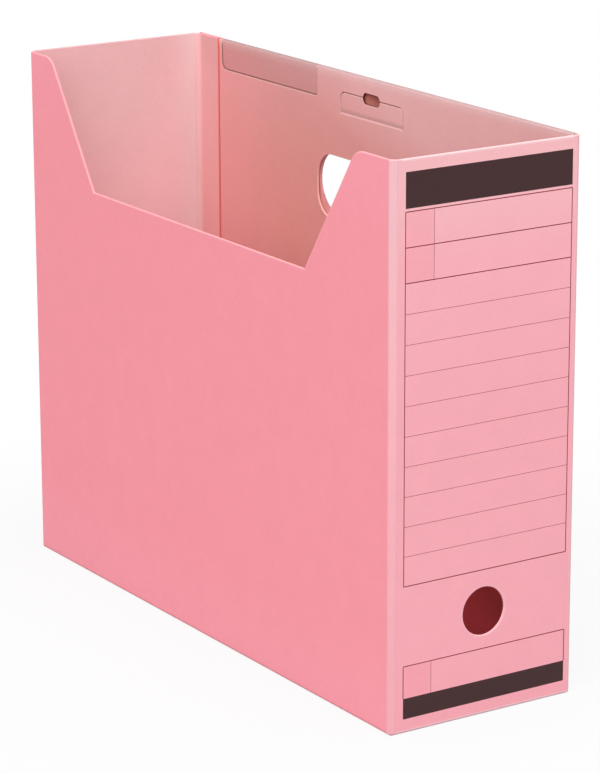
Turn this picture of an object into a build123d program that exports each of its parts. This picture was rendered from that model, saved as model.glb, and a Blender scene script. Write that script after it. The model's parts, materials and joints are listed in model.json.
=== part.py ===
from build123d import *
from math import sqrt
import os

# Upright file box for landscape A4 folders, folded from one sheet of dyed paperboard.
# Millimetres, +Z up, origin at the centre of the base, on the floor.
# X runs across the box: the wall with the cut-out is at -X, the wall with the hand hole at +X.
# Y runs along the box: the label end is at -Y, the plain back end at +Y.
# "Drop" sizes run down from the top edge, "setback" sizes run forward from the back end.

# Box
box_width = 102.0
box_length = 324.0
box_height = 263.0
board = 1.2
cut_edge_bevel = 0.3
corner_run = 3.0
crease_radius = 1.8
base_radius = 1.5
corner_foot_bevel = 1.0

# Cut-out in the top edge of the -X wall
cutout_drop = 61.5
cutout_back_post = 22.6
cutout_front_post = 28.7
cutout_slope_run = 41.0
cutout_mouth_radius = 11.0
cutout_floor_radius = 1.0

# Finger hole in the label end
finger_hole_diameter = 23.0
finger_hole_height = 49.7

# Hand hole through the handle wall and the turn-in panel
hand_hole_length = 94.2
hand_hole_height = 32.0
hand_hole_drop = 58.9
hand_hole_lift = 2.2
hand_hole_inner_radius = 12.0

# Turn-in panel, folded over the top of the handle wall and hanging inside it
turn_in_gap = 0.6
turn_in_drop = 131.0
turn_in_setback = 22.7
turn_in_foot_radius = 5.0
crease_gap = 0.3
cut_gap = 0.4

# Index tab, cut out of the turn-in panel just under the fold and pressed back a little, in degrees
index_tab_setback = 25.9
index_tab_front_gap = 21.3
index_tab_drop = 15.0
index_tab_back_radius = 4.0
index_tab_front_radius = 2.0
index_tab_press = 2.0

# Finger tab, cut out of the turn-in panel above the hand hole and creased along its lower edge
finger_tab_length = 53.0
finger_tab_drop = 10.2
finger_tab_crease_drop = 20.0
finger_tab_crease_gap = 1.6
finger_tab_radius = 3.0
finger_slot_length = 14.3
finger_slot_height = 5.3

# Glue flap, folded off the back end and glued inside the handle wall
glue_flap_reach = 21.0
glue_flap_taper = 6.0

# Base of four flaps, each one stepping up over those below it
step_run = 3.0
base_gap = 0.5
end_flap_reach = 95.0

# Distance below which two places count as one
hairline = 0.001

# Places that several pieces share
half_width = box_width / 2
half_length = box_length / 2
half_flat_length = half_length - corner_run
half_flat_width = half_width - corner_run
back_wall_end = half_width - board - corner_run
fold_radius = board + turn_in_gap / 2
fold_x = half_width - fold_radius
fold_z = box_height - fold_radius
panel_x = half_width - 2 * board - turn_in_gap
panel_top = fold_z - crease_gap
panel_back = half_length - turn_in_setback
finger_tab_crease_z = box_height - finger_tab_crease_drop
finger_tab_foot = finger_tab_crease_z + finger_tab_crease_gap / 2
finger_window_foot = finger_tab_crease_z - finger_tab_crease_gap / 2
flap_margin = base_radius + step_run + base_gap


def board_across(face, x):
    """Give a face drawn in (Y, Z) the board's thickness, from x towards +X."""
    return extrude(Plane.YZ.offset(x) * face, board)


def board_along(face, y):
    """Give a face drawn in (X, Z) the board's thickness, from y towards -Y."""
    return extrude(Plane.XZ.offset(-y) * face, board)


def span(low_u, low_v, high_u, high_v):
    """Rectangle between two opposite corners."""
    middle = Pos((low_u + high_u) / 2, (low_v + high_v) / 2)
    return middle * Rectangle(high_u - low_u, high_v - low_v)


def round_corner(face, u, v, radius):
    """Round the corner of a face that lies nearest to (u, v)."""
    return fillet(face.vertices().sort_by_distance((u, v, 0))[0], radius)


def lies_in(edge, axis, place):
    """True for an edge that lies in the plane where axis equals place."""
    box = edge.bounding_box()
    return all(abs(getattr(corner, axis) - place) < hairline for corner in (box.min, box.max))


def soften(solid, across, faces, folds):
    """Bevel both rims of each cut edge of a flat board, as a die crushes them.

    The board's two faces lie at the faces places on the axis across it, and folds lists the planes, as pairs
    of an axis and a place, where the board runs on into a fold and has no cut edge.
    """
    on_faces = [edge for edge in solid.edges() if any(lies_in(edge, across, place) for place in faces)]
    rims = [edge for edge in on_faces if not any(lies_in(edge, axis, place) for axis, place in folds)]
    return chamfer(rims, cut_edge_bevel)


def quarter_ring(radius):
    """Section of a square fold: a quarter ring of board in the first quadrant, round the origin."""
    ring = Circle(radius) - Circle(radius - board)
    return ring & span(0, 0, radius, radius)


# Walls


def cutout_side_wall():
    mouth_back = half_length - cutout_back_post
    mouth_front = cutout_front_post - half_length
    floor_back = mouth_back - cutout_slope_run
    floor_front = mouth_front + cutout_slope_run
    floor_z = box_height - cutout_drop
    outline = Polyline(
        (-half_flat_length, base_radius),
        (half_flat_length, base_radius),
        (half_flat_length, box_height),
        (mouth_back, box_height),
        (floor_back, floor_z),
        (floor_front, floor_z),
        (mouth_front, box_height),
        (-half_flat_length, box_height),
        close=True,
    )
    face = make_face(outline)
    for y in (mouth_back, mouth_front):
        face = round_corner(face, y, box_height, cutout_mouth_radius)
    for y in (floor_back, floor_front):
        face = round_corner(face, y, floor_z, cutout_floor_radius)
    wall = board_across(face, -half_width)
    folds = (("Z", base_radius), ("Y", half_flat_length), ("Y", -half_flat_length))
    return soften(wall, "X", (-half_width, board - half_width), folds)


def label_end_wall():
    face = span(-half_flat_width, base_radius, half_flat_width, box_height)
    face -= Pos(0, finger_hole_height) * Circle(finger_hole_diameter / 2)
    wall = board_along(face, board - half_length)
    folds = (("Z", base_radius), ("X", half_flat_width), ("X", -half_flat_width))
    return soften(wall, "Y", (-half_length, board - half_length), folds)


def back_end_wall():
    face = span(-half_flat_width, base_radius, back_wall_end, box_height)
    folds = (("Z", base_radius), ("X", back_wall_end), ("X", -half_flat_width))
    return soften(board_along(face, half_length), "Y", (half_length, half_length - board), folds)


def handle_side_wall():
    """The top edge is lower where the fold sits on it, and plain behind the fold."""
    face = span(-half_flat_length, base_radius, panel_back, fold_z)
    face += span(panel_back, base_radius, half_length, box_height)
    hole_z = box_height - hand_hole_drop + hand_hole_lift
    face -= Pos(0, hole_z) * SlotOverall(hand_hole_length, hand_hole_height)
    wall = board_across(face, half_width - board)
    folds = (("Z", base_radius), ("Y", -half_flat_length), ("Z", fold_z))
    return soften(wall, "X", (half_width, half_width - board), folds)


# Upright folds


def corner_path(start, radius):
    """One face of a corner fold: two creases of half a right angle each, and the flat band between them."""
    band = (corner_run - crease_radius) * sqrt(2)
    first = JernArc((start, 0), (0, 1), radius, 45)
    flat = Line(first @ 1, first @ 1 + (first % 1) * band)
    last = JernArc(flat @ 1, flat % 1, radius, 45)
    return [first, flat, last]


def fold_rims(fold, level):
    """Edges of an upright fold at one level, but not those where the walls join it, the inner ones first."""
    rims = [edge for edge in fold.edges() if lies_in(edge, "Z", level)]
    rims = [edge for edge in rims if not lies_in(edge, "X", 0) and not lies_in(edge, "Y", 0)]
    return ShapeList(rims).sort_by_distance((0, 0, level))


def corner_fold(x, y, turn):
    """Upright fold between two walls, set off from the line at (x, y).

    Its top edge is cut like theirs, and its foot is bevelled outside, in line with the folds of the base.
    """
    outer = corner_path(corner_run, crease_radius)
    inner = corner_path(corner_run - board, crease_radius - board)
    ends = [Line(outer[0] @ 0, inner[0] @ 0), Line(outer[-1] @ 1, inner[-1] @ 1)]
    fold = extrude(make_face(outer + inner + ends), box_height)
    fold = chamfer(fold_rims(fold, box_height), cut_edge_bevel)
    outer_foot = fold_rims(fold, 0)[len(inner):]
    return Pos(x, y, 0) * Rot(0, 0, turn) * chamfer(outer_foot, corner_foot_bevel)


def glue_flap():
    """Fold at the back end and the strip beyond it, whose lower corner is cut to a slant."""
    fold = corner_fold(back_wall_end, half_flat_length, 0)
    edge = half_length - glue_flap_reach
    foot = 3 * board + base_gap
    outline = Polyline(
        (half_flat_length, foot),
        (half_flat_length, box_height),
        (edge, box_height),
        (edge, foot + glue_flap_taper),
        close=True,
    )
    strip = board_across(make_face(outline), half_width - 2 * board)
    faces = (half_width - 2 * board, half_width - board)
    return fold + soften(strip, "X", faces, [("Y", half_flat_length)])


# Inner layer of the handle wall


def top_fold():
    """U-bend over the handle wall's top edge, as long as the turn-in panel."""
    ring = Circle(fold_radius) - Circle(turn_in_gap / 2)
    bend = ring & span(-fold_radius, 0, fold_radius, fold_radius)
    length = panel_back + half_flat_length
    return extrude(Plane.XZ.offset(-panel_back) * Pos(fold_x, fold_z) * bend, length)


def soften_inner(face, crease_levels):
    """Board of the inner layer, with sharp edges only along the creases at the levels given."""
    folds = [("Z", level) for level in crease_levels]
    return soften(board_across(face, panel_x), "X", (panel_x, panel_x + board), folds)


def index_tab_face(margin):
    """Outline of the index tab, or of its window when a margin is added.

    It runs from its setback to a gap short of the finger tab.
    """
    back = half_length - index_tab_setback + margin
    front = finger_tab_length / 2 + index_tab_front_gap - margin
    foot = box_height - index_tab_drop - margin
    face = span(front, foot, back, panel_top)
    face = round_corner(face, back, foot, index_tab_back_radius + margin)
    return round_corner(face, front, foot, index_tab_front_radius + margin)


def finger_tab_face(margin, foot):
    """Outline of the finger tab above a foot level, or of its window when a margin is added."""
    side = finger_tab_length / 2 + margin
    top = box_height - finger_tab_drop + margin
    face = span(-side, foot, side, top)
    for y in (-side, side):
        face = round_corner(face, y, top, finger_tab_radius + margin)
    return face


def finger_slot_face():
    return Pos(0, box_height - finger_tab_drop) * SlotOverall(finger_slot_length, finger_slot_height)


def turn_in_panel():
    foot = box_height - turn_in_drop
    face = span(-half_flat_length, foot, panel_back, panel_top)
    for y in (-half_flat_length, panel_back):
        face = round_corner(face, y, foot, turn_in_foot_radius)
    hole = RectangleRounded(hand_hole_length, hand_hole_height, hand_hole_inner_radius)
    face -= Pos(0, box_height - hand_hole_drop) * hole
    face -= index_tab_face(cut_gap)
    face -= finger_tab_face(cut_gap, finger_window_foot)
    face -= finger_slot_face()
    return soften_inner(face, (panel_top, finger_window_foot))


def index_tab():
    """The tab turns on the inner edge of the fold, where the crease runs."""
    crease = Axis((panel_x, 0, panel_top + crease_gap / 2), (0, 1, 0))
    return soften_inner(index_tab_face(0), [panel_top]).rotate(crease, -index_tab_press)


def finger_tab():
    face = finger_tab_face(0, finger_tab_foot) - finger_slot_face()
    return soften_inner(face, [finger_tab_foot])


# Base


def base_flap(wall_foot, inward, half_fold, half_flap, layer, reach):
    """Fold along a wall's foot and the flap beyond it, which steps up onto the layers below it.

    wall_foot is the middle of the wall's outer face at the floor, and inward points into the box.
    """
    rise = layer * board
    turn = Pos(base_radius, base_radius) * Rot(0, 0, 180)
    outline = Polyline(
        (base_radius, 0),
        (base_radius + step_run, rise),
        (reach, rise),
        (reach, rise + board),
        (base_radius + step_run, rise + board),
        (base_radius, board),
        close=True,
    )
    section = Plane(wall_foot, x_dir=inward, z_dir=Vector(inward).cross(Vector(0, 0, 1)))
    fold = extrude(section * turn * quarter_ring(base_radius), half_fold, both=True)
    flap = extrude(section * make_face(outline), half_flap, both=True)
    return fold + flap


def base_outer_panel():
    reach = box_width - flap_margin
    half_flap = half_length - flap_margin
    return base_flap((-half_width, 0, 0), (1, 0, 0), half_flat_length, half_flap, 0, reach)


def base_inner_panel():
    reach = box_width - base_radius - base_gap
    half_flap = half_length - flap_margin
    return base_flap((half_width, 0, 0), (-1, 0, 0), half_flat_length, half_flap, 1, reach)


def base_front_flap():
    foot = (0, -half_length, 0)
    return base_flap(foot, (0, 1, 0), half_flat_width, half_flat_width, 2, end_flap_reach)


def base_back_flap():
    """The back wall is narrower than the label end by the handle wall that laps over its edge."""
    half_span = (back_wall_end + half_flat_width) / 2
    foot = ((back_wall_end - half_flat_width) / 2, half_length, 0)
    return base_flap(foot, (0, -1, 0), half_span, half_span, 2, end_flap_reach)


nodes = {
    "cutout_side_wall": cutout_side_wall(),
    "label_end_wall": label_end_wall(),
    "handle_side_wall": handle_side_wall(),
    "back_end_wall": back_end_wall(),
    "front_cutout_corner_fold": corner_fold(-half_flat_width, -half_flat_length, 180),
    "front_handle_corner_fold": corner_fold(half_flat_width, -half_flat_length, 270),
    "back_cutout_corner_fold": corner_fold(-half_flat_width, half_flat_length, 90),
    "glue_flap": glue_flap(),
    "top_fold": top_fold(),
    "turn_in_panel": turn_in_panel(),
    "index_tab": index_tab(),
    "finger_tab": finger_tab(),
    "base_outer_panel": base_outer_panel(),
    "base_inner_panel": base_inner_panel(),
    "base_front_flap": base_front_flap(),
    "base_back_flap": base_back_flap(),
}

os.makedirs("parts", exist_ok=True)
for name, solid in nodes.items():
    export_step(solid, f"parts/{name}.step")
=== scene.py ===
import json
import math

import bpy
import numpy as np
from mathutils import Matrix, Vector


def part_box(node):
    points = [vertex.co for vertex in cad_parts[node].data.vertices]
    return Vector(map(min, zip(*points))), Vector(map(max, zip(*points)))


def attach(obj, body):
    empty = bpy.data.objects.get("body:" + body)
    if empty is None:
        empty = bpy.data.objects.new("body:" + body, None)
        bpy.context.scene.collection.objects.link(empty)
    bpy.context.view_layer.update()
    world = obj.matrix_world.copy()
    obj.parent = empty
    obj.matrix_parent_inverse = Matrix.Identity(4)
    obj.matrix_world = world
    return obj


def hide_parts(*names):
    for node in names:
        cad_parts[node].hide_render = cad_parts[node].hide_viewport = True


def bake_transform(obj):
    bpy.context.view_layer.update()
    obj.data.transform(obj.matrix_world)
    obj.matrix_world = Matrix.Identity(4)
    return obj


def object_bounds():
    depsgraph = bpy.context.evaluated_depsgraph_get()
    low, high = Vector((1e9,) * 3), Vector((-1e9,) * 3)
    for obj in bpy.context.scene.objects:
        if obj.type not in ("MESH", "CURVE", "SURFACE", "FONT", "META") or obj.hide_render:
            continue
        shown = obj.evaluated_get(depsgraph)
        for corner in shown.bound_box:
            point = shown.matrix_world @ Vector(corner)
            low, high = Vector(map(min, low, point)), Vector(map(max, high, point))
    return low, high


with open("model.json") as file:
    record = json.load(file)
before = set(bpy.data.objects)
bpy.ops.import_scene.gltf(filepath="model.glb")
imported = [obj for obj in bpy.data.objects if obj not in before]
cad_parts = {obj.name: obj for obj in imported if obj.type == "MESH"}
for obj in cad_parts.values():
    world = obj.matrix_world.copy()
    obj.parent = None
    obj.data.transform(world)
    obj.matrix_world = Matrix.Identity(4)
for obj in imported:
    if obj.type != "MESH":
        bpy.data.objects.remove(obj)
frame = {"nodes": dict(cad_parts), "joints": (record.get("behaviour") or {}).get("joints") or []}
cad_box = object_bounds()

# Sizes in metres, read from the frame
MM = 0.001
box_low, box_high = cad_box
wall_low, wall_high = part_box("cutout_side_wall")
board = wall_high.x - wall_low.x
label_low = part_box("label_end_wall")[0]
handle_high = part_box("handle_side_wall")[1]
back_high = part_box("back_end_wall")[1]
flap_low, flap_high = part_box("glue_flap")
fold_low, fold_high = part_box("top_fold")
panel_low, panel_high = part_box("turn_in_panel")
index_low, index_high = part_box("index_tab")
finger_low, finger_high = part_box("finger_tab")
index_tab_stretch = (index_low.y, index_high.y)
hinges = {joint["name"]: Vector(joint["pos_m"]) for joint in frame["joints"]}

# Small sizes that the frame doesn't give
cut_edge_bevel = 0.3 * MM
cut_gap = 0.4 * MM
crease_radius = 1.8 * MM
top_crease_radius = 0.6 * MM
top_crease_inner_radius = 0.2 * MM
foot_radius = 1.0 * MM
finger_tab_groove = 0.15 * MM
index_tab_press = math.radians(2)
hand_hole_half_length = 47.1 * MM
hand_hole_half_height = 16 * MM
hand_hole_drop = 58.9 * MM
hand_hole_lift = 2.2 * MM

# Colours of the faces and inks, in sRGB; the paler pinks are painted light on the one board
OUTER_PINK = "#f496a2"
# The label end, the handle-side front fold and the base's front flap are paler where more light falls
LIT_LABEL_PINK = "#f6aeb9"
LIT_EDGE_PINK = "#f9b9c3"
LIT_FOOT_PINK = "#fccbd2"
CREST_HIGHLIGHT = "#f1d4d4"
INK = "#3e2425"
RULE_INK = "#7d1f28"

# Colours of the core, as it shows in cut edges; the deep and grey ones are painted shade, the dull one
# painted light in gaps
CORE_PINK = "#f4989a"
CORE_PALE = "#f5b9bb"
CORE_DULL = "#e4bfb8"
CORE_DEEP = "#cf7280"
SHADED_CORE = "#bd9092"

# Colours of the rims beside cut edges: painted highlights, or painted shade where darker than the face
PALE_HIGHLIGHT = "#fbd3d4"
PANEL_RIM = "#f4bebc"
COVERED_RIM = "#ffb2ac"
WALL_RIM = "#f9c6ca"
LABEL_RIM = "#fff3f3"
BACK_RIM = "#e3a9ad"
CUT_RIM = "#cd958d"
SOFT_RIM = "#e3b8b0"

# Colours of cut edges in narrow gaps and openings: painted shade, but painted light in the bright crown and
# hole edge
GAP_RED = "#ec7a74"
SLOT_SHADE = "#6a2f28"
WINDOW_SHADE = "#b07b76"
LEDGE_SHADE = "#cf9c95"
TAB_EDGE_SHADE = "#dab0aa"
CROWN_BRIGHT = "#fbdcd6"
HOLE_EDGE_LIGHT = "#f0ada7"
SILL_SHADE = "#c0757e"

# Outer faces and the label wall's rims in sRGB, by height in mm: painted light, paler where more light falls
WALL_FACE = {4: "#f69ca9", 45: OUTER_PINK, 225: OUTER_PINK, 256: "#f599a6"}
LABEL_FACE = {145: "#f5a9b4", 215: LIT_LABEL_PINK, 252: "#f4b8bd"}
LIT_FOLD_FACE = {60: "#eeaab4", 150: "#f1aeb7", 240: "#e9b4ba"}
LABEL_RIMS = {235: WALL_RIM, 255: LABEL_RIM}

# Inside colours in sRGB, by height in mm along the slanting level: painted light and shade on one pink board
INSIDE_PANEL = {180: "#e9a39c", 225: "#e3a29e", 256: "#eab4b3"}
INSIDE_BACK = {165: "#facccf", 210: "#f0c5c7", 238: "#eebdbf"}
INSIDE_FLAP = {167: "#f2b5b4", 222: "#ecb3b4", 238: "#eaaeae"}
INSIDE_WALL = {0: "#e7b0af"}
# The covered wall's dark stops are painted shade, seen through the finger hole and the finger tab's slot
INSIDE_COVERED = {44: "#c05e66", 66: "#ab5052", 120: "#dd8a86", 170: "#eba7a2", 225: "#eba7a2",
                  248: "#d58a7e", 254: "#a35d52"}
INSIDE_BASE = {5: "#dd9393", 50: "#c96f71"}

# Where boards light each other up inside: axis, stretch along it in mm, and the colour at its end
PANEL_GLOW = (1, (60, 139), "#eea9a8")
COVERED_GLOW = (1, (20, 140), "#dd8a86")
BACK_WALL_GLOW = (0, (28, 52), "#f2d6d7")
FLAP_GLOW = (1, (157.2, 158.6), "#f1c1c2")


def linear(hex_colour):
    """sRGB hex colour as linear RGBA, by the sRGB curve."""
    parts = [int(hex_colour[i:i + 2], 16) / 255 for i in (1, 3, 5)]
    return [c / 12.92 if c <= 0.04045 else ((c + 0.055) / 1.055) ** 2.4 for c in parts] + [1]


def add(tree, kind, inputs=None, **settings):
    """Add one shader node; settings are its properties, inputs are values or sockets to link.

    Inputs go by name or number. A Map Range takes its value at 0, its range at 1 and 2, and the range of
    the result at 3 and 4. A colour Mix takes its share at 0 and its colours at 6 and 7, and gives the
    result at output 2.
    """
    made = tree.nodes.new("ShaderNode" + kind)
    for name, value in settings.items():
        setattr(made, name, value)
    for key, value in (inputs or {}).items():
        if isinstance(value, bpy.types.NodeSocket):
            tree.links.new(value, made.inputs[key])
        else:
            made.inputs[key].default_value = value
    return made


# Depth through the board, 0 on the outer face and 1 on the inner face

def flat_depth(face_point, inward):
    """Depth in a flat board: distance inward from its outer face, over the thickness."""
    inward = Vector(inward)
    start = face_point.dot(inward)

    def depth(tree, place):
        along = add(tree, "VectorMath", {0: place, 1: inward}, operation="DOT_PRODUCT").outputs["Value"]
        scaled = add(tree, "Math", {0: along, 1: 1 / board, 2: -start / board}, operation="MULTIPLY_ADD")
        return scaled.outputs[0]
    return depth


def sheet_depth(tree, place):
    """Depth in a sheet made here: the value that its mesh carries."""
    return add(tree, "Attribute", attribute_name="through").outputs["Fac"]


def facing_depth(tree, place):
    """Depth in a bent CAD board: 1 where its surface faces the middle of the box, else 0."""
    middle = (box_low + box_high) / 2
    normal = add(tree, "TexCoord").outputs["Normal"]
    outward = add(tree, "VectorMath", {0: place, 1: middle}, operation="SUBTRACT").outputs[0]
    facing = add(tree, "VectorMath", {0: normal, 1: outward}, operation="DOT_PRODUCT").outputs["Value"]
    return add(tree, "Math", {0: facing, 1: 0}, operation="LESS_THAN").outputs[0]


# The printed form on the label end, in mm across from the left edge and down from the top

HEAVY_RULE = 0.45
FINE_RULE = 0.2
FORM_LEFT = 6.9
FORM_RIGHT = 96.9
UPPER_BAND = (5.8, 22.0)
FORM_TOP = 23.4
TALL_ROWS = (39.25, 55.1)
ROW_PITCH = 13.84
ROWS = 10
HEADING_CELL = 22.1
LOWER_FORM_TOP = 231.2
LOWER_BAND = (246.5, 256.3)
CELL_TINT = 0.35
INK_ROUGHNESS = 0.5


def rule_across(down, width):
    """A printed rule across the form as (left, right, top, bottom)."""
    return FORM_LEFT, FORM_RIGHT, down - width / 2, down + width / 2


def rule_down(across, top, bottom, width):
    """A printed rule down the form as (left, right, top, bottom)."""
    return across - width / 2, across + width / 2, top, bottom


form_bottom = TALL_ROWS[1] + ROWS * ROW_PITCH
INK_BANDS = [
    (FORM_LEFT, FORM_RIGHT, *UPPER_BAND),
    (FORM_LEFT, FORM_RIGHT, *LOWER_BAND),
]
INK_RULES = [
    *[rule_across(down, HEAVY_RULE) for down in (FORM_TOP, *TALL_ROWS, form_bottom, LOWER_FORM_TOP)],
    *[rule_across(TALL_ROWS[1] + ROW_PITCH * row, FINE_RULE) for row in range(1, ROWS)],
    *[rule_down(side, FORM_TOP, form_bottom, HEAVY_RULE) for side in (FORM_LEFT, FORM_RIGHT)],
    *[rule_down(side, LOWER_FORM_TOP, LOWER_BAND[0], HEAVY_RULE) for side in (FORM_LEFT, FORM_RIGHT)],
    rule_down(HEADING_CELL, FORM_TOP, TALL_ROWS[1], FINE_RULE),
    rule_down(HEADING_CELL, LOWER_FORM_TOP, LOWER_BAND[0], FINE_RULE),
]
TINTED_CELLS = [
    (FORM_LEFT, HEADING_CELL, FORM_TOP, TALL_ROWS[1]),
    (FORM_LEFT, HEADING_CELL, LOWER_FORM_TOP, LOWER_BAND[0]),
]


def printed(tree, form_place, areas):
    """Mask that is 1 inside any of the areas: within half its width across and half its height down."""
    across, _, down = add(tree, "SeparateXYZ", {0: form_place}).outputs
    mask = 0
    for left, right, top, bottom in areas:
        wide = add(tree, "Math", {0: across, 1: (left + right) / 2, 2: (right - left) / 2},
                   operation="COMPARE").outputs[0]
        tall = add(tree, "Math", {0: down, 1: (top + bottom) / 2, 2: (bottom - top) / 2},
                   operation="COMPARE").outputs[0]
        area = add(tree, "Math", {0: wide, 1: tall}, operation="MULTIPLY").outputs[0]
        mask = add(tree, "Math", {0: mask, 1: area}, operation="MAXIMUM").outputs[0]
    return mask


def form_print(tree, place, through, colour):
    """The colour with the form printed on the outer face, and the roughness, lower on the inked bands."""
    to_mm = (1 / MM, 1 / MM, -1 / MM)
    corner = (-box_low.x / MM, 0, box_high.z / MM)
    form_place = add(tree, "VectorMath", {0: place, 1: to_mm, 2: corner},
                     operation="MULTIPLY_ADD").outputs[0]
    on_face = add(tree, "Math", {0: through, 1: FACE_PLY}, operation="LESS_THAN").outputs[0]
    cells = printed(tree, form_place, TINTED_CELLS)
    tint = add(tree, "Math", {0: cells, 1: CELL_TINT}, operation="MULTIPLY").outputs[0]
    colour = add(tree, "Mix", {0: tint, 6: colour, 7: linear(OUTER_PINK)}, data_type="RGBA").outputs[2]
    rules = printed(tree, form_place, INK_RULES)
    bands = printed(tree, form_place, INK_BANDS)
    for mask, ink in ((rules, RULE_INK), (bands, INK)):
        inked = add(tree, "Math", {0: mask, 1: on_face}, operation="MULTIPLY").outputs[0]
        colour = add(tree, "Mix", {0: inked, 6: colour, 7: linear(ink)}, data_type="RGBA").outputs[2]
    roughness = add(tree, "MapRange", {0: inked, 3: BOARD_ROUGHNESS, 4: INK_ROUGHNESS}).outputs[0]
    return colour, roughness


# Paperboard: compressed plies, dyed through, so matte and softly cloudy; inside, its colour carries painted
# light and shade, ramped up towards the open top

# Fibres are drawn wider than they are, since real ones are too fine to show
FIBRE_WIDTH = 0.9 * MM
FIBRE_DETAIL = 3
FIBRE_HEIGHT = 0.02 * MM
CLOUD_WIDTH = 11 * MM
CLOUD_DETAIL = 2
WAVE_LENGTH = 90 * MM
WAVE_HEIGHT = 0.12 * MM
NOISE_SPAN = (0.25, 0.75)
FIBRE_TONES = (0.965, 1.025)
CLOUD_TONES = (0.985, 1.015)
BOARD_ROUGHNESS = 0.72
BOARD_IOR = 1.45
BOARD_SPECULAR = 0.3

# Depths of the face plies and of the core, as shares of the thickness
FACE_PLY = 0.05
CORE_START = 0.2

# Levels of the inside's painted light and shade: they fall towards the front by the slant, from the turning
# line on
SHADE_SLANT = 0.35
SHADE_TURN = 50 * MM
RAMP_TOP = 300 * MM

# Rims beside cut edges, painted highlight or shade, which show where a rounded normal agrees with the flat
# one less and less
RIM_WIDTH = 1.6 * MM
LABEL_RIM_WIDTH = 2.4 * MM
TAB_RIM_WIDTH = 1.2 * MM
RIM_AGREEMENT = (0.99, 0.8)
RIM_SHARE = 0.55
RIM_SAMPLES = 6
CORNER_ZONE = 4.5 * MM
HUNG_ZONE = 2 * RIM_WIDTH

# Painted light and shade: a highlight under the top fold, shade on its crest, above the finger tab's crease
# and over the index tab
CREST_REACH = 4.5 * MM
CREST_SHARE = 0.5
CREST_TONE = 0.52
CREASE_SHADE_WIDTH = 1.2 * MM
CREASE_SHADE_TONE = 0.5
STRETCH_SHADE_TONE = 0.84


def tone(tree, height, colour):
    """A colour for a socket: the one written, or a ramp up the box for colours given by height in mm."""
    if isinstance(colour, str):
        return linear(colour)
    level = add(tree, "MapRange", {0: height, 1: 0, 2: RAMP_TOP}).outputs[0]
    ramp = add(tree, "ValToRGB", {0: level})
    marks = ramp.color_ramp.elements
    marks.remove(marks[1])
    marks[0].position = 0
    marks[0].color = linear(next(iter(colour.values())))
    for stop, shade in colour.items():
        marks.new(stop * MM / RAMP_TOP).color = linear(shade)
    return ramp.outputs[0]


def inner_face(tree, axes, stops, glow, hung):
    """Colour of the inside: painted light and shade by slanting levels, its glow and, if hung, a highlight
    at the top
    """
    _, along, height = axes
    ahead = add(tree, "Math", {0: along, 1: SHADE_TURN}, operation="MINIMUM").outputs[0]
    slanting = add(tree, "Math", {0: ahead, 1: -SHADE_SLANT, 2: height}, operation="MULTIPLY_ADD").outputs[0]
    inner = tone(tree, slanting, stops)
    if glow:
        axis, (start, end), lit = glow
        share = add(tree, "MapRange", {0: axes[axis], 1: start * MM, 2: end * MM},
                    interpolation_type="SMOOTHSTEP").outputs[0]
        inner = add(tree, "Mix", {0: share, 6: inner, 7: linear(lit)}, data_type="RGBA").outputs[2]
    if hung:
        highlight_low = fold_high.z - CREST_REACH
        share = add(tree, "MapRange", {0: height, 1: highlight_low, 2: fold_high.z, 4: CREST_SHARE}).outputs[0]
        inner = add(tree, "Mix", {0: share, 6: inner, 7: linear(CREST_HIGHLIGHT)}, data_type="RGBA").outputs[2]
    return inner


def plies(tree, through, face, core, inner):
    """Colour by depth: the outer face's ply, the core, the inner face's ply and short blends between."""
    at_inner = add(tree, "MapRange", {0: through, 1: 1 - CORE_START, 2: 1 - FACE_PLY}).outputs[0]
    at_core = add(tree, "MapRange", {0: through, 1: FACE_PLY, 2: CORE_START}).outputs[0]
    colour = add(tree, "Mix", {0: at_inner, 6: linear(core), 7: inner}, data_type="RGBA").outputs[2]
    return add(tree, "Mix", {0: at_core, 6: face, 7: colour}, data_type="RGBA").outputs[2]


def rim_share(tree, place, ceiling, width):
    """How near a cut edge is, for its rim of painted highlight or shade: where a rounded normal leaves the
    flat one, away from the folds.

    Those are at the corners, at the base and, on a board that hangs from one, above the ceiling.
    """
    flat = add(tree, "NewGeometry").outputs["True Normal"]
    rounded = add(tree, "Bevel", {"Radius": width}, samples=RIM_SAMPLES).outputs[0]
    agree = add(tree, "VectorMath", {0: flat, 1: rounded}, operation="DOT_PRODUCT").outputs["Value"]
    far_off, at_edge = RIM_AGREEMENT
    near = add(tree, "MapRange", {0: agree, 1: far_off, 2: at_edge, 3: 0, 4: RIM_SHARE}).outputs[0]
    apart = add(tree, "VectorMath", {0: place}, operation="ABSOLUTE").outputs[0]
    across, along, height = add(tree, "SeparateXYZ", {0: apart}).outputs
    beside = add(tree, "Math", {0: across, 1: box_high.x - CORNER_ZONE}, operation="LESS_THAN").outputs[0]
    between = add(tree, "Math", {0: along, 1: box_high.y - CORNER_ZONE}, operation="LESS_THAN").outputs[0]
    clear = add(tree, "Math", {0: beside, 1: between}, operation="MAXIMUM").outputs[0]
    middle = (ceiling + CORNER_ZONE) / 2
    level = add(tree, "Math", {0: height, 1: middle, 2: ceiling - middle}, operation="COMPARE").outputs[0]
    clear = add(tree, "Math", {0: clear, 1: level}, operation="MULTIPLY").outputs[0]
    return add(tree, "Math", {0: near, 1: clear}, operation="MULTIPLY").outputs[0]


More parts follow.
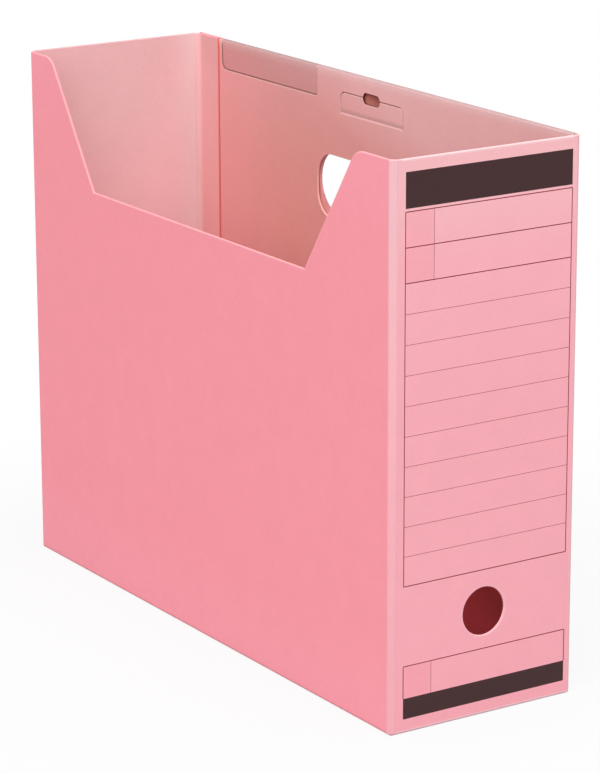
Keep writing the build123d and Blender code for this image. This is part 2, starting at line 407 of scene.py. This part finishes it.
def gap_shades(tree, place, colour, shaded):
    """The colour, changed inside each box of painted shade or light: where the least distance to its sides
    is positive.
    """
    for low, high, shade in shaded:
        apart = add(tree, "VectorMath", {0: place, 1: (low + high) / 2}, operation="SUBTRACT").outputs[0]
        apart = add(tree, "VectorMath", {0: apart}, operation="ABSOLUTE").outputs[0]
        spare = add(tree, "VectorMath", {0: (high - low) / 2, 1: apart}, operation="SUBTRACT").outputs[0]
        x, y, z = add(tree, "SeparateXYZ", {0: spare}).outputs
        least = add(tree, "Math", {0: x, 1: y}, operation="MINIMUM").outputs[0]
        least = add(tree, "Math", {0: least, 1: z}, operation="MINIMUM").outputs[0]
        within = add(tree, "Math", {0: least, 1: 0}, operation="GREATER_THAN").outputs[0]
        colour = add(tree, "Mix", {0: within, 6: colour, 7: linear(shade)}, data_type="RGBA").outputs[2]
    return colour


def crease_shade_tone(tree, along, height):
    """Painted shade at the finger tab's crease, over the tab's length: it darkens the board just above its
    middle.

    The tone falls from 1 by the height above the middle, in shade widths, times a bell curve of it.
    """
    middle = hinges["finger_tab_hinge"].z
    above = add(tree, "Math", {0: height, 1: 1 / CREASE_SHADE_WIDTH, 2: -middle / CREASE_SHADE_WIDTH},
                operation="MULTIPLY_ADD").outputs[0]
    square = add(tree, "Math", {0: above, 1: above}, operation="MULTIPLY").outputs[0]
    falling = add(tree, "Math", {0: square, 1: -1}, operation="MULTIPLY").outputs[0]
    bell = add(tree, "Math", {0: falling}, operation="EXPONENT").outputs[0]
    rising = add(tree, "Math", {0: above, 1: 0}, operation="MAXIMUM").outputs[0]
    fall = add(tree, "Math", {0: rising, 1: bell}, operation="MULTIPLY").outputs[0]
    beside = add(tree, "Math", {0: along, 1: 0, 2: finger_high.y}, operation="COMPARE").outputs[0]
    fall = add(tree, "Math", {0: fall, 1: beside}, operation="MULTIPLY").outputs[0]
    return add(tree, "Math", {0: fall, 1: -CREASE_SHADE_TONE, 2: 1}, operation="MULTIPLY_ADD").outputs[0]


def shade_tones(tree, axes, fold_over, shade_crease, darker_stretch):
    """Tones of painted shade that multiply the colour: on the crest, above the finger tab's crease and over
    a stretch.
    """
    _, along, height = axes
    tones = []
    if fold_over:
        # Painted shade on the crest, which faces up and catches more light
        crest_low = fold_high.z - top_crease_radius
        crest = add(tree, "MapRange", {0: height, 1: crest_low, 2: fold_high.z, 3: 1, 4: CREST_TONE})
        tones.append(crest.outputs[0])
    if shade_crease:
        tones.append(crease_shade_tone(tree, along, height))
    if darker_stretch:
        front, back = darker_stretch
        within_stretch = add(tree, "Math", {0: along, 1: (front + back) / 2, 2: (back - front) / 2},
                      operation="COMPARE").outputs[0]
        tones.append(add(tree, "MapRange", {0: within_stretch, 3: 1, 4: STRETCH_SHADE_TONE}).outputs[0])
    return tones


def paperboard(name, depth, outer=None, inside=INSIDE_PANEL, core=CORE_PINK, rim=PALE_HIGHLIGHT,
               rim_width=RIM_WIDTH, glow=None, darker_stretch=None, fold_over=False, hung=False, shade_crease=False,
               shaded=(), has_form=False):
    """Material for one board: outer face, core and inner face by depth, fibre, clouds and a slight wave.

    A board with no outer colour shows the inside of the box on both faces. One that folds over goes from
    the outer colour to the inside's across the top fold, with painted shade on its crest, which faces up.
    One that is hung has a crease for its top edge, below which a painted highlight pales it, and the panel's
    glow. One with a shaded crease has painted shade just above the finger tab's crease. Painted shade
    darkens a given stretch of Y, and shaded lists boxes, each with a colour of painted shade or light, for
    cut edges in gaps and openings.
    """
    material = bpy.data.materials.new(name)
    material.use_nodes = True
    tree = material.node_tree
    shader = tree.nodes["Principled BSDF"]
    place = add(tree, "TexCoord").outputs["Object"]
    axes = add(tree, "SeparateXYZ", {0: place}).outputs
    across, _, height = axes
    through = depth(tree, place)

    inner = inner_face(tree, axes, inside, PANEL_GLOW if hung else glow, hung)
    face = tone(tree, height, outer) if outer else inner
    if fold_over:
        middle = (fold_low.x + fold_high.x) / 2
        over = add(tree, "MapRange", {0: across, 1: fold_high.x, 2: middle}).outputs[0]
        face = add(tree, "Mix", {0: over, 6: face, 7: inner}, data_type="RGBA").outputs[2]
    colour = plies(tree, through, face, core, inner)
    ceiling = fold_low.z - HUNG_ZONE if hung else box_high.z + board
    # The rim beside cut edges is a painted highlight, or painted shade where its colour is darker
    at_rim = rim_share(tree, place, ceiling, rim_width)
    rim_colour = tone(tree, height, rim)
    colour = add(tree, "Mix", {0: at_rim, 6: colour, 7: rim_colour}, data_type="RGBA").outputs[2]
    colour = gap_shades(tree, place, colour, shaded)

    shader.inputs["Roughness"].default_value = BOARD_ROUGHNESS
    shader.inputs["IOR"].default_value = BOARD_IOR
    shader.inputs["Specular IOR Level"].default_value = BOARD_SPECULAR
    if has_form:
        colour, roughness = form_print(tree, place, through, colour)
        tree.links.new(roughness, shader.inputs["Roughness"])

    fibre, cloud, wave = [
        add(tree, "TexNoise", {"Vector": place, "Scale": 1 / width, "Detail": detail}).outputs[0]
        for width, detail in ((FIBRE_WIDTH, FIBRE_DETAIL), (CLOUD_WIDTH, CLOUD_DETAIL), (WAVE_LENGTH, 0))
    ]
    low, high = NOISE_SPAN
    tones = shade_tones(tree, axes, fold_over, shade_crease, darker_stretch)
    for noise, (dark, light) in ((fibre, FIBRE_TONES), (cloud, CLOUD_TONES)):
        tones.append(add(tree, "MapRange", {0: noise, 1: low, 2: high, 3: dark, 4: light}).outputs[0])
    for shade in tones:
        colour = add(tree, "VectorMath", {0: colour, 1: shade}, operation="MULTIPLY").outputs[0]
    tree.links.new(colour, shader.inputs["Base Color"])

    grain = add(tree, "Bump", {"Height": fibre, "Distance": FIBRE_HEIGHT}).outputs[0]
    wavy = add(tree, "Bump", {"Height": wave, "Distance": WAVE_HEIGHT, "Normal": grain}).outputs[0]
    tree.links.new(wavy, shader.inputs["Normal"])
    return material


def dress(thing, material):
    """Give a piece or a node its one material."""
    thing.data.materials.clear()
    thing.data.materials.append(material)


# Pieces worked out as board sheets

ARC_POINTS = 12
FLAT_POINTS = 4
FOOT_POINTS = 6
STRIP_POINTS = 11
GROOVE_PLACE = 0.6
SHARP_ANGLE = math.radians(25)


def board_sheet(name, outer, inner, rim=0):
    """Closed sheet from two grids of points, rows by columns: outer face, inner face and the rim between.

    Each point carries its depth through the board, and rim gives the depth of each row's outer points.
    """
    rows, columns = outer.shape[:2]
    count = rows * columns
    points = np.concatenate([outer.reshape(-1, 3), inner.reshape(-1, 3)])
    number = np.arange(count).reshape(rows, columns)
    corners = [number[:-1, :-1], number[:-1, 1:], number[1:, 1:], number[1:, :-1]]
    quads = np.stack(corners, -1).reshape(-1, 4)
    border = np.concatenate([number[0, :-1], number[:-1, -1], number[-1, :0:-1], number[:0:-1, 0]])
    after = np.roll(border, -1)
    sides = np.stack([border, border + count, after + count, after], -1)
    faces = np.concatenate([quads, quads[:, ::-1] + count, sides])
    outer_depth = np.broadcast_to(np.reshape(rim, (-1, 1)), (rows, columns)).ravel()
    mesh = bpy.data.meshes.new(name)
    mesh.from_pydata(points.tolist(), [], faces.tolist())
    depth = mesh.attributes.new("through", "FLOAT", "POINT")
    depth.data.foreach_set("value", np.concatenate([outer_depth, 1 - outer_depth]).astype(np.float32))
    mesh.polygons.foreach_set("use_smooth", np.ones(len(faces), bool))
    mesh.set_sharp_from_angle(angle=SHARP_ANGLE)
    piece = bpy.data.objects.new(name, mesh)
    bpy.context.scene.collection.objects.link(piece)
    return piece


def upright_bend(node, name, outer):
    """Corner fold: two creases of 45 degrees round upright axes and the flat band between them.

    The crease axis moves from one wall to the other while the heading waits at 45 degrees, and each point
    stands off the axis by the crease radius along the heading. The top rim is drawn in by the bevel, and
    the foot by a quarter round, as the folds of the base are.
    """
    low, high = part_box(node)
    inner_x = high.x if low.x < 0 else low.x
    inner_y = high.y if low.y < 0 else low.y
    side_x = math.copysign(1, low.x)
    side_y = math.copysign(1, low.y)
    half = math.pi / 4
    heading = np.concatenate([np.linspace(0, half, ARC_POINTS), np.full(FLAT_POINTS, half),
                              np.linspace(half, 2 * half, ARC_POINTS)])
    moving = np.linspace(0, 1, FLAT_POINTS + 2)[1:-1]
    moved = np.concatenate([np.zeros(ARC_POINTS), moving, np.ones(ARC_POINTS)])
    if side_x * side_y < 0:
        heading = heading[::-1]
        moved = moved[::-1]
    foot = np.linspace(0, 1, FOOT_POINTS)
    heights = np.concatenate([low.z + foot_radius * foot ** 2, [high.z - cut_edge_bevel, high.z]])
    rounding = foot_radius * (1 - np.sqrt(1 - (1 - foot ** 2) ** 2))
    inset = np.concatenate([np.zeros(FOOT_POINTS + 1), [cut_edge_bevel]])
    outer_inset = inset + np.concatenate([rounding, [0, 0]])
    reach = high.x - low.x - crease_radius

    def face(radii):
        x = inner_x + side_x * (reach * (1 - moved) + radii[:, None] * np.cos(heading))
        y = inner_y + side_y * (reach * moved + radii[:, None] * np.sin(heading))
        z = np.broadcast_to(heights[:, None], x.shape)
        return np.stack([x, y, z], -1)

    outer_face = face(crease_radius - outer_inset)
    inner_side = face(crease_radius - board + inset)
    piece = board_sheet(name, outer_face, inner_side, inset / board)
    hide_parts(node)
    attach(piece, "box")
    dress(piece, paperboard("creased_" + name, sheet_depth, outer, INSIDE_BACK, CORE_PALE))


def top_bend():
    """Top fold: two tight creases and a narrow flat between, from the handle wall to the turn-in panel.

    A quarter arc over the wall and one over the panel stand off the two crease axes, and a short upright
    run leads into each.
    """
    middle = (fold_low.x + fold_high.x) / 2
    quarter = math.pi / 2
    heading = np.concatenate([[0], np.linspace(0, quarter, ARC_POINTS),
                              np.linspace(quarter, 2 * quarter, ARC_POINTS), [2 * quarter]])
    side = np.concatenate([np.ones(ARC_POINTS + 1), -np.ones(ARC_POINTS + 1)])
    lifted = np.concatenate([[0], np.ones(2 * ARC_POINTS), [0]])
    along = np.array([fold_high.y, fold_low.y])

    def face(inset, radius):
        half_width = fold_high.x - middle - inset
        rise = fold_high.z - fold_low.z - inset
        x = middle + side * (half_width - radius) + radius * np.cos(heading)
        z = fold_low.z + lifted * (rise - radius) + radius * np.sin(heading)
        y = np.broadcast_to(along[:, None], (2, len(heading)))
        return np.stack([np.broadcast_to(x, y.shape), y, np.broadcast_to(z, y.shape)], -1)

    piece = board_sheet("top_bend", face(0, top_crease_radius), face(board, top_crease_inner_radius))
    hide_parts("top_fold")
    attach(piece, "box")
    dress(piece, paperboard("creased_top_bend", sheet_depth, OUTER_PINK, core=PALE_HIGHLIGHT,
                            darker_stretch=index_tab_stretch, fold_over=True, hung=True))


def crease_strip(name, bodies, front, back, top, foot, groove=0):
    """Bent fibres across a crease: a flat strip as thick as the board, from top to foot.

    A groove presses its face back to a lopsided V, which is deepest six tenths of the way down.
    """
    down = np.linspace(0, 1, STRIP_POINTS)
    sunk = np.minimum(down / GROOVE_PLACE, (1 - down) / (1 - GROOVE_PLACE))
    along = np.array([back, front])
    z = np.broadcast_to(top + (foot - top) * down, (2, STRIP_POINTS))
    y = np.broadcast_to(along[:, None], z.shape)
    face_x = np.broadcast_to(panel_low.x + groove * sunk, z.shape)
    back_x = np.full(z.shape, panel_high.x)
    piece = board_sheet(name, np.stack([face_x, y, z], -1), np.stack([back_x, y, z], -1))
    # Painted shade: just above a groove, and over the index tab's stretch
    dress(piece, paperboard("creased_" + name, sheet_depth, darker_stretch=index_tab_stretch, hung=True,
                            shade_crease=groove > 0))
    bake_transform(piece)


upright_bend("front_cutout_corner_fold", "front_cutout_bend", LIT_FOLD_FACE)
upright_bend("front_handle_corner_fold", "front_handle_bend", LIT_EDGE_PINK)
upright_bend("back_cutout_corner_fold", "back_cutout_bend", OUTER_PINK)
top_bend()
crease_strip("turn_in_crease_front", ("box", "turn_in_panel"), panel_low.y, index_low.y - cut_gap,
             fold_low.z, panel_high.z)
crease_strip("turn_in_crease_back", ("box", "turn_in_panel"), index_high.y + cut_gap, panel_high.y,
             fold_low.z, panel_high.z)
crease_strip("index_tab_crease", ("box", "index_tab"), *index_tab_stretch, fold_low.z, panel_high.z)
finger_window_foot = 2 * hinges["finger_tab_hinge"].z - finger_low.z
crease_strip("finger_tab_crease", ("finger_tab", "turn_in_panel"), finger_low.y, finger_high.y,
             finger_low.z, finger_window_foot, finger_tab_groove)

# Cut edges in gaps and openings: two corners of a box in space, and the colour of the edges inside it,
# painted shade or painted light

HAIRLINE = 0.03 * MM
MARGIN = 1 * MM
GAP_LINE = 0.7 * MM
EDGE_REACH = 0.5 * MM
SLOT_REACH = 7.5 * MM
SLOT_RISE = 3 * MM
HOLE_LIT_RISE = 12 * MM
SILL_DROP = 8 * MM
behind_panel_face = panel_low.x + HAIRLINE
behind_wall_face = handle_high.x - board + HAIRLINE
above = Vector((0, 0, MARGIN))

slot_middle = Vector(((panel_low.x + panel_high.x) / 2, 0, finger_high.z))
slot_reach = Vector(((board - cut_edge_bevel) / 2, SLOT_REACH, SLOT_RISE))
slot_shade = (slot_middle - slot_reach, slot_middle + slot_reach, SLOT_SHADE)

window_low = Vector((behind_panel_face, index_low.y - MARGIN, index_low.z))
window_high = Vector((panel_high.x + MARGIN, index_high.y + MARGIN, box_high.z))
window_shade = (window_low, window_high, WINDOW_SHADE)
ledge_high = Vector((panel_low.x + EDGE_REACH, window_high.y, window_low.z))
ledge_shade = (window_low - above, ledge_high, LEDGE_SHADE)

side_low = Vector((behind_panel_face, finger_high.y, finger_low.z))
side_high = Vector((panel_high.x, finger_high.y + MARGIN, finger_high.z))
side_shade = (side_low, side_high, TAB_EDGE_SHADE)
crown_low = Vector((finger_low.x + cut_edge_bevel, finger_low.y, finger_high.z - EDGE_REACH))
crown_light = (crown_low, finger_high + above, CROWN_BRIGHT)

hole_reach = Vector((0, hand_hole_half_length + MARGIN, hand_hole_half_height + MARGIN))
hole_level = box_high.z - hand_hole_drop
hole_low = Vector((behind_panel_face, 0, hole_level)) - hole_reach
hole_high = Vector((panel_high.x, hole_reach.y, hole_level + HOLE_LIT_RISE))
hole_light = (hole_low, hole_high, HOLE_EDGE_LIGHT)
sill_level = hole_level + hand_hole_lift
sill_low = Vector((behind_wall_face, 0, sill_level)) - hole_reach
sill_high = Vector((handle_high.x, hole_reach.y, sill_level - SILL_DROP))
sill_shade = (sill_low, sill_high, SILL_SHADE)

spread = Vector((1, 1, 1)) * cut_edge_bevel / 2
flap_edge = Vector((flap_high.x, flap_low.y + GAP_LINE, flap_high.z))
flap_shade = (flap_low - spread, flap_edge + spread, GAP_RED)

# Boards of the nodes that still show

tab_inward = (math.cos(index_tab_press), 0, math.sin(index_tab_press))
NODE_BOARDS = {
    "cutout_side_wall": paperboard("paperboard_cutout_wall", flat_depth(wall_low, (1, 0, 0)), WALL_FACE,
                                   INSIDE_WALL, rim=WALL_RIM),
    "label_end_wall": paperboard("printed_paperboard_label_wall", flat_depth(label_low, (0, 1, 0)),
                                 LABEL_FACE, INSIDE_WALL, CORE_PALE, LABEL_RIMS, LABEL_RIM_WIDTH,
                                 has_form=True),
    "handle_side_wall": paperboard("paperboard_handle_wall", flat_depth(handle_high, (-1, 0, 0)),
                                   OUTER_PINK, INSIDE_COVERED, CORE_DEEP, COVERED_RIM, glow=COVERED_GLOW,
                                   shaded=[sill_shade]),
    "back_end_wall": paperboard("paperboard_back_wall", flat_depth(back_high, (0, -1, 0)), OUTER_PINK,
                                INSIDE_BACK, SHADED_CORE, BACK_RIM, glow=BACK_WALL_GLOW),
    "turn_in_panel": paperboard("paperboard_turn_in_panel", flat_depth(panel_low, (1, 0, 0)),
                                core=CORE_DULL, rim=PANEL_RIM, hung=True, shade_crease=True,
                                shaded=[slot_shade, window_shade, ledge_shade, side_shade, hole_light]),
    "finger_tab": paperboard("paperboard_finger_tab", flat_depth(finger_low, (1, 0, 0)), core=TAB_EDGE_SHADE,
                             rim=SOFT_RIM, rim_width=TAB_RIM_WIDTH, shade_crease=True,
                             shaded=[crown_light, slot_shade]),
    # The index tab, and the crest and creases over its stretch, are darkened by painted shade
    "index_tab": paperboard("shaded_paperboard_index_tab",
                            flat_depth(hinges["index_tab_hinge"], tab_inward), core=CORE_DULL, rim=CUT_RIM,
                            rim_width=TAB_RIM_WIDTH, darker_stretch=index_tab_stretch, hung=True),
    "glue_flap": paperboard("creased_paperboard_glue_flap", facing_depth, OUTER_PINK, INSIDE_FLAP,
                            CORE_DEEP, BACK_RIM, glow=FLAP_GLOW, shaded=[flap_shade]),
    "base_front_flap": paperboard("creased_paperboard_front_flap", facing_depth, LIT_FOOT_PINK, INSIDE_BASE),
}
base_board = paperboard("creased_paperboard_base", facing_depth, OUTER_PINK, INSIDE_BASE)
for node in ("base_outer_panel", "base_inner_panel", "base_back_flap"):
    NODE_BOARDS[node] = base_board
for node, material in NODE_BOARDS.items():
    dress(frame["nodes"][node], material)


# Stage, in metres: pale floor, soft light and camera

WHITE = "#ffffff"
FLOOR_GREY = "#cfcfcf"
FLOOR_ROUGHNESS = 0.9
FLOOR_SPECULAR = 0.1
FLOOR_REACH = 6.0
FLOOR_DROP = 0.1 * MM
FLOOR_FADE = (0.15, 0.4)
FLOOR_LIFT = 0.88

# Camera, in degrees and metres, fitted to the box's corners in the photograph
FRAME_HEIGHT_PIXELS = 773
FOCAL_PIXELS = 3321
SENSOR_MM = 36
CAMERA_AZIMUTH = -32.98
CAMERA_ELEVATION = 15.75
CAMERA_ROLL = -0.18
CAMERA_DISTANCE = 1.604
CAMERA_TARGET = Vector((0, -0.0102, 0.1194))


def direction(azimuth, elevation):
    """Unit vector from the object towards a place at this azimuth and elevation in degrees."""
    a = math.radians(azimuth)
    e = math.radians(elevation)
    return Vector((math.sin(a) * math.cos(e), -math.cos(a) * math.cos(e), math.sin(e)))


def floor():
    """A wide plain floor just under the box: it keeps the shadow and fades to plain white for the camera.

    Under the box it stays unlit, so that no white shows through the small gaps at the corners of the base.
    """
    sides = np.array([(-1, -1), (1, -1), (1, 1), (-1, 1)]) * FLOOR_REACH
    mesh = bpy.data.meshes.new("floor")
    mesh.from_pydata([(x, y, -FLOOR_DROP) for x, y in sides], [], [(0, 1, 2, 3)])
    piece = bpy.data.objects.new("floor", mesh)
    bpy.context.scene.collection.objects.link(piece)
    material = bpy.data.materials.new("matte_white_paper_floor")
    material.use_nodes = True
    tree = material.node_tree
    shader = tree.nodes["Principled BSDF"]
    shader.inputs["Base Color"].default_value = linear(FLOOR_GREY)
    shader.inputs["Roughness"].default_value = FLOOR_ROUGHNESS
    shader.inputs["Specular IOR Level"].default_value = FLOOR_SPECULAR
    place = add(tree, "TexCoord").outputs["Object"]
    away = add(tree, "VectorMath", {0: place}, operation="LENGTH").outputs["Value"]
    near, far = FLOOR_FADE
    fade = add(tree, "MapRange", {0: away, 1: near, 2: far, 3: FLOOR_LIFT, 4: 1},
               interpolation_type="SMOOTHSTEP").outputs[0]
    apart = add(tree, "VectorMath", {0: place}, operation="ABSOLUTE").outputs[0]
    across, along, _ = add(tree, "SeparateXYZ", {0: apart}).outputs
    beside = add(tree, "Math", {0: across, 1: box_high.x - foot_radius}, operation="GREATER_THAN").outputs[0]
    beyond = add(tree, "Math", {0: along, 1: box_high.y - foot_radius}, operation="GREATER_THAN").outputs[0]
    clear = add(tree, "Math", {0: beside, 1: beyond}, operation="MAXIMUM").outputs[0]
    seen = add(tree, "LightPath").outputs["Is Camera Ray"]
    seen = add(tree, "Math", {0: seen, 1: clear}, operation="MULTIPLY").outputs[0]
    white = add(tree, "Math", {0: fade, 1: seen}, operation="MULTIPLY").outputs[0]
    glow = add(tree, "Emission", {"Color": linear(WHITE), "Strength": 1}).outputs[0]
    mixed = add(tree, "MixShader", {0: white, 1: shader.outputs[0], 2: glow}).outputs[0]
    tree.links.new(mixed, tree.nodes["Material Output"].inputs["Surface"])
    dress(piece, material)


def softbox(name, azimuth, elevation, distance, size, watts):
    """A square soft lamp that looks at the middle of the box, in degrees, metres and watts."""
    lamp = bpy.data.lights.new(name, "AREA")
    lamp.size = size
    lamp.energy = watts
    back = direction(azimuth, elevation)
    piece = bpy.data.objects.new(name, lamp)
    piece.location = (box_low + box_high) / 2 + back * distance
    piece.rotation_euler = back.to_track_quat("Z", "Y").to_euler()
    bpy.context.scene.collection.objects.link(piece)


def surroundings(strength):
    """White room light at this strength, seen by the camera, in gloss and through glass as plain white."""
    world = bpy.data.worlds.new("studio")
    bpy.context.scene.world = world
    world.use_nodes = True
    tree = world.node_tree
    background = tree.nodes["Background"]
    background.inputs["Color"].default_value = linear(WHITE)
    path = add(tree, "LightPath").outputs
    seen = path["Is Camera Ray"]
    for ray in ("Is Glossy Ray", "Is Transmission Ray"):
        seen = add(tree, "Math", {0: seen, 1: path[ray]}, operation="MAXIMUM").outputs[0]
    level = add(tree, "MapRange", {0: seen, 3: strength, 4: 1}).outputs[0]
    tree.links.new(level, background.inputs["Strength"])


def photo_camera():
    """Camera at the photograph's viewing angle, with its small roll."""
    data = bpy.data.cameras.new("photo_camera")
    data.sensor_width = SENSOR_MM
    data.lens = FOCAL_PIXELS * SENSOR_MM / FRAME_HEIGHT_PIXELS
    back = direction(CAMERA_AZIMUTH, CAMERA_ELEVATION)
    level = Vector((math.cos(math.radians(CAMERA_AZIMUTH)), math.sin(math.radians(CAMERA_AZIMUTH)), 0))
    upright = back.cross(level)
    roll = math.radians(CAMERA_ROLL)
    right = math.cos(roll) * level + math.sin(roll) * upright
    up = -math.sin(roll) * level + math.cos(roll) * upright
    camera = bpy.data.objects.new("photo_camera", data)
    camera.rotation_mode = "QUATERNION"
    camera.location = CAMERA_TARGET + back * CAMERA_DISTANCE
    camera.rotation_quaternion = Matrix((right, up, back)).transposed().to_quaternion()
    bpy.context.scene.collection.objects.link(camera)
    bpy.context.scene.camera = camera


floor()
softbox("key_softbox", azimuth=-55, elevation=35, distance=6.0, size=5.0, watts=153)
softbox("top_softbox", azimuth=-15, elevation=75, distance=2.0, size=1.6, watts=36)
surroundings(strength=0.50)
photo_camera()
bpy.context.scene.view_settings.view_transform = "Standard"
